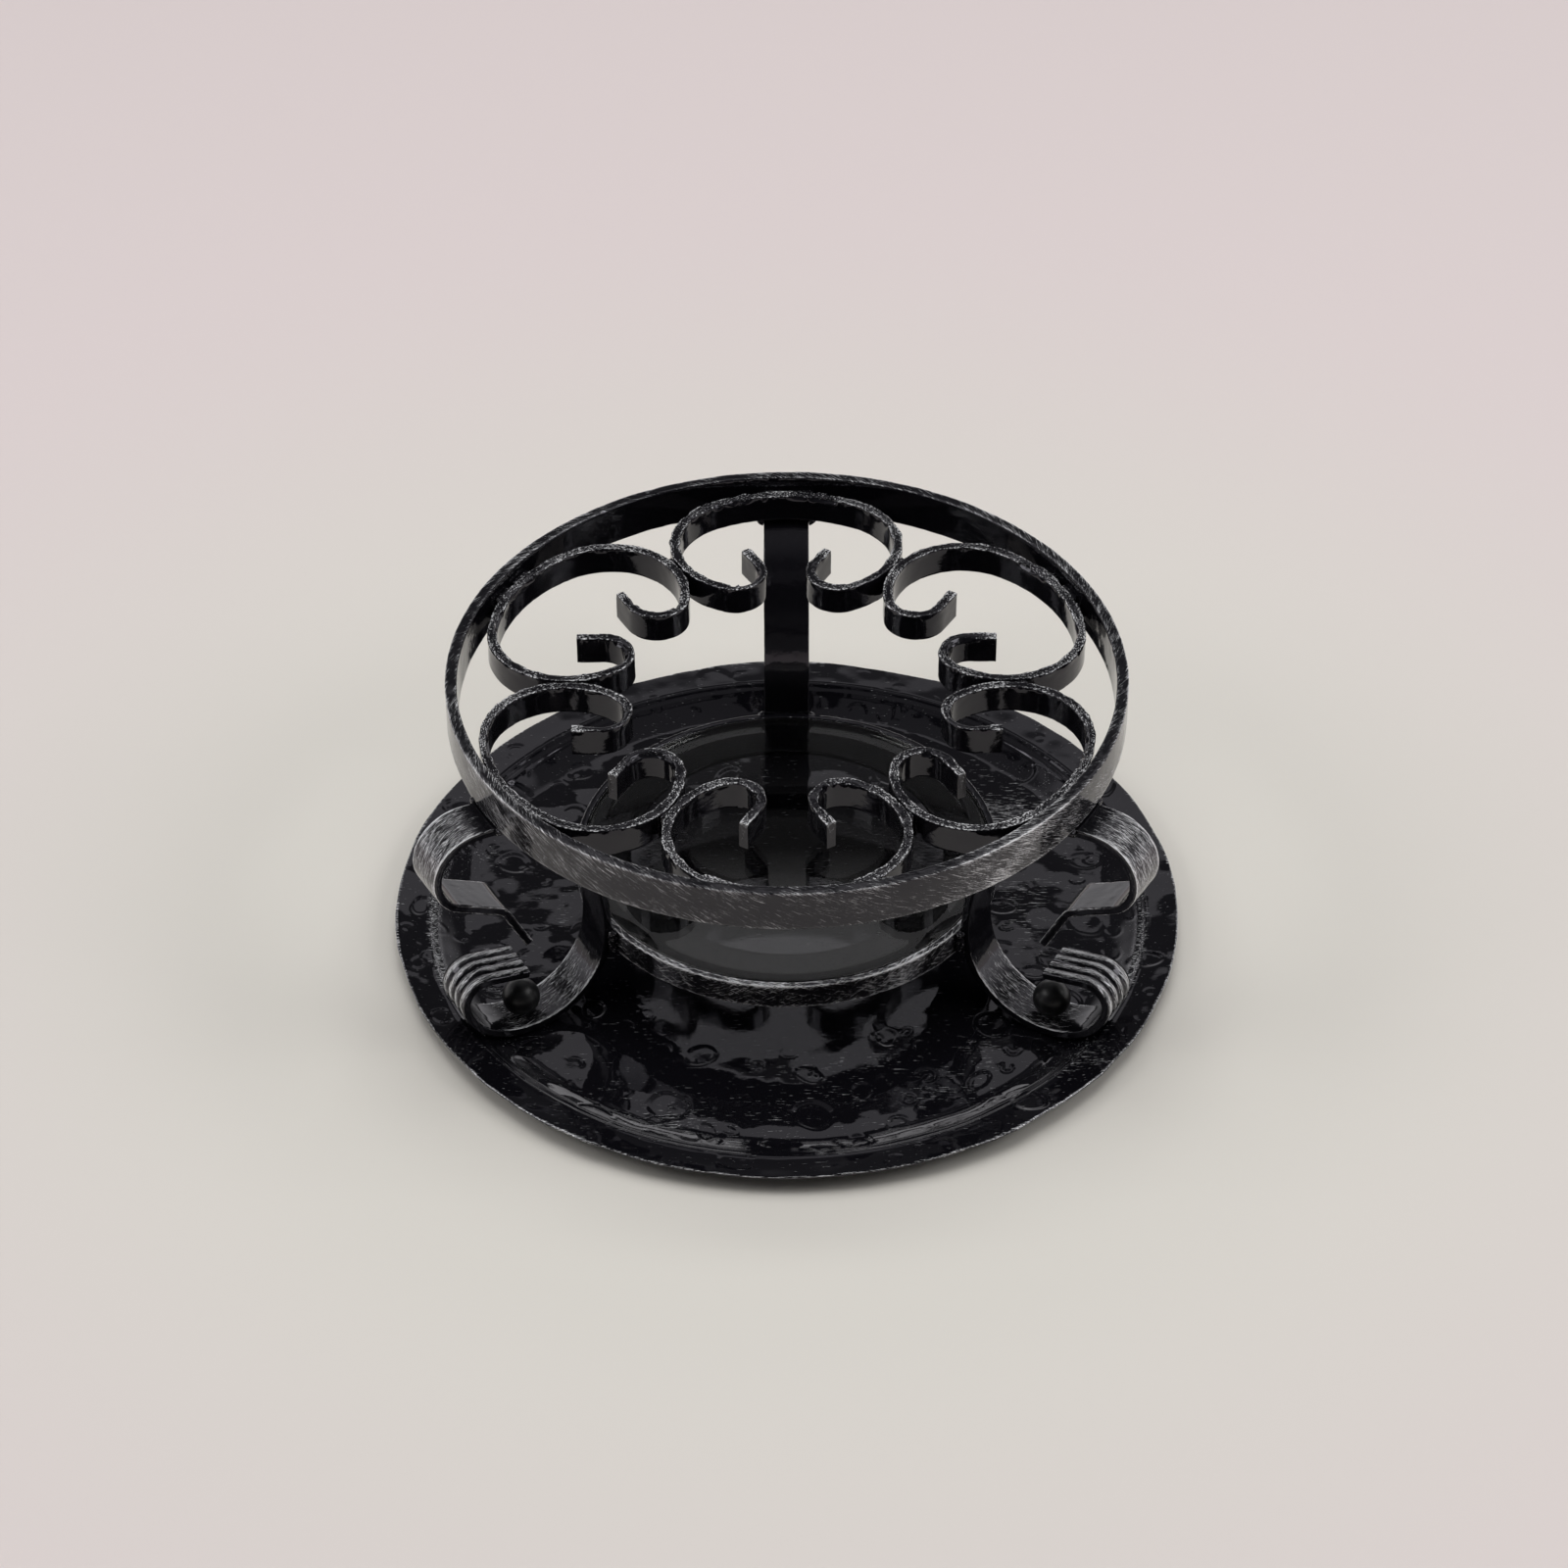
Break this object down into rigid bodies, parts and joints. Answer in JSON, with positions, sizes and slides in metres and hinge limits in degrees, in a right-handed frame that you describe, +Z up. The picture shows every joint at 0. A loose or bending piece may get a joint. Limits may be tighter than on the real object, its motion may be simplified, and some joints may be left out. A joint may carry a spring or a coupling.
{
  "type": "umbrella stand",
  "caption": "Low round wrought-iron umbrella stand: scrolled flat-bar legs, a ring filled with C-scrolls, a raised glass disc and a hammered drip dish.",
  "frame": {"origin": "on the floor, under the centre of the drip dish", "axes": "+Z up; -Y towards the front scroll, between two of the legs; +X to the right seen from the front"},
  "size_m": [0.35, 0.3506, 0.1416],
  "materials": {
    "brushed_iron": "black gloss paint, dry-brushed with silver along the edges and outer faces",
    "gloss_black": "smooth black gloss",
    "clear_glass": "clear float glass",
    "hammered_black": "hammered black gloss with a silver-brushed crease",
    "satin_black": "satin black",
    "plain_steel": "plain",
    "weld_paint": "painted weld bead"
  },
  "bodies": {
    "root": {"drip_dish": "hammered_black", "top_ring": "brushed_iron", "low_hoop": "brushed_iron", "glass_ledge": "gloss_black", "glass_disc": "clear_glass", "leg_back": "brushed_iron", "ball_nut_back": "satin_black", "stud_back": "plain_steel", "weld_ring_leg_back_a": "weld_paint", "weld_hoop_leg_back_a": "weld_paint", "weld_ring_leg_back_b": "weld_paint", "weld_hoop_leg_back_b": "weld_paint", "leg_left": "brushed_iron", "ball_nut_left": "satin_black", "stud_left": "plain_steel", "weld_ring_leg_left_a": "weld_paint", "weld_hoop_leg_left_a": "weld_paint", "weld_ring_leg_left_b": "weld_paint", "weld_hoop_leg_left_b": "weld_paint", "leg_right": "brushed_iron", "ball_nut_right": "satin_black", "stud_right": "plain_steel", "weld_ring_leg_right_a": "weld_paint", "weld_hoop_leg_right_a": "weld_paint", "weld_ring_leg_right_b": "weld_paint", "weld_hoop_leg_right_b": "weld_paint", "weld_ledge_1": "weld_paint", "weld_ledge_2": "weld_paint", "weld_ledge_3": "weld_paint", "scroll_back": "brushed_iron", "weld_ring_scroll_back_a": "weld_paint", "weld_ring_scroll_back_b": "weld_paint", "weld_scrolls_1": "weld_paint", "scroll_back_left": "brushed_iron", "weld_ring_scroll_back_left_a": "weld_paint", "weld_ring_scroll_back_left_b": "weld_paint", "weld_scrolls_2": "weld_paint", "scroll_front_left": "brushed_iron", "weld_ring_scroll_front_left_a": "weld_paint", "weld_ring_scroll_front_left_b": "weld_paint", "weld_scrolls_3": "weld_paint", "scroll_front": "brushed_iron", "weld_ring_scroll_front_a": "weld_paint", "weld_ring_scroll_front_b": "weld_paint", "weld_scrolls_4": "weld_paint", "scroll_front_right": "brushed_iron", "weld_ring_scroll_front_right_a": "weld_paint", "weld_ring_scroll_front_right_b": "weld_paint", "weld_scrolls_5": "weld_paint", "scroll_back_right": "brushed_iron", "weld_ring_scroll_back_right_a": "weld_paint", "weld_ring_scroll_back_right_b": "weld_paint", "weld_scrolls_6": "weld_paint"}
  },
  "joints": []
}
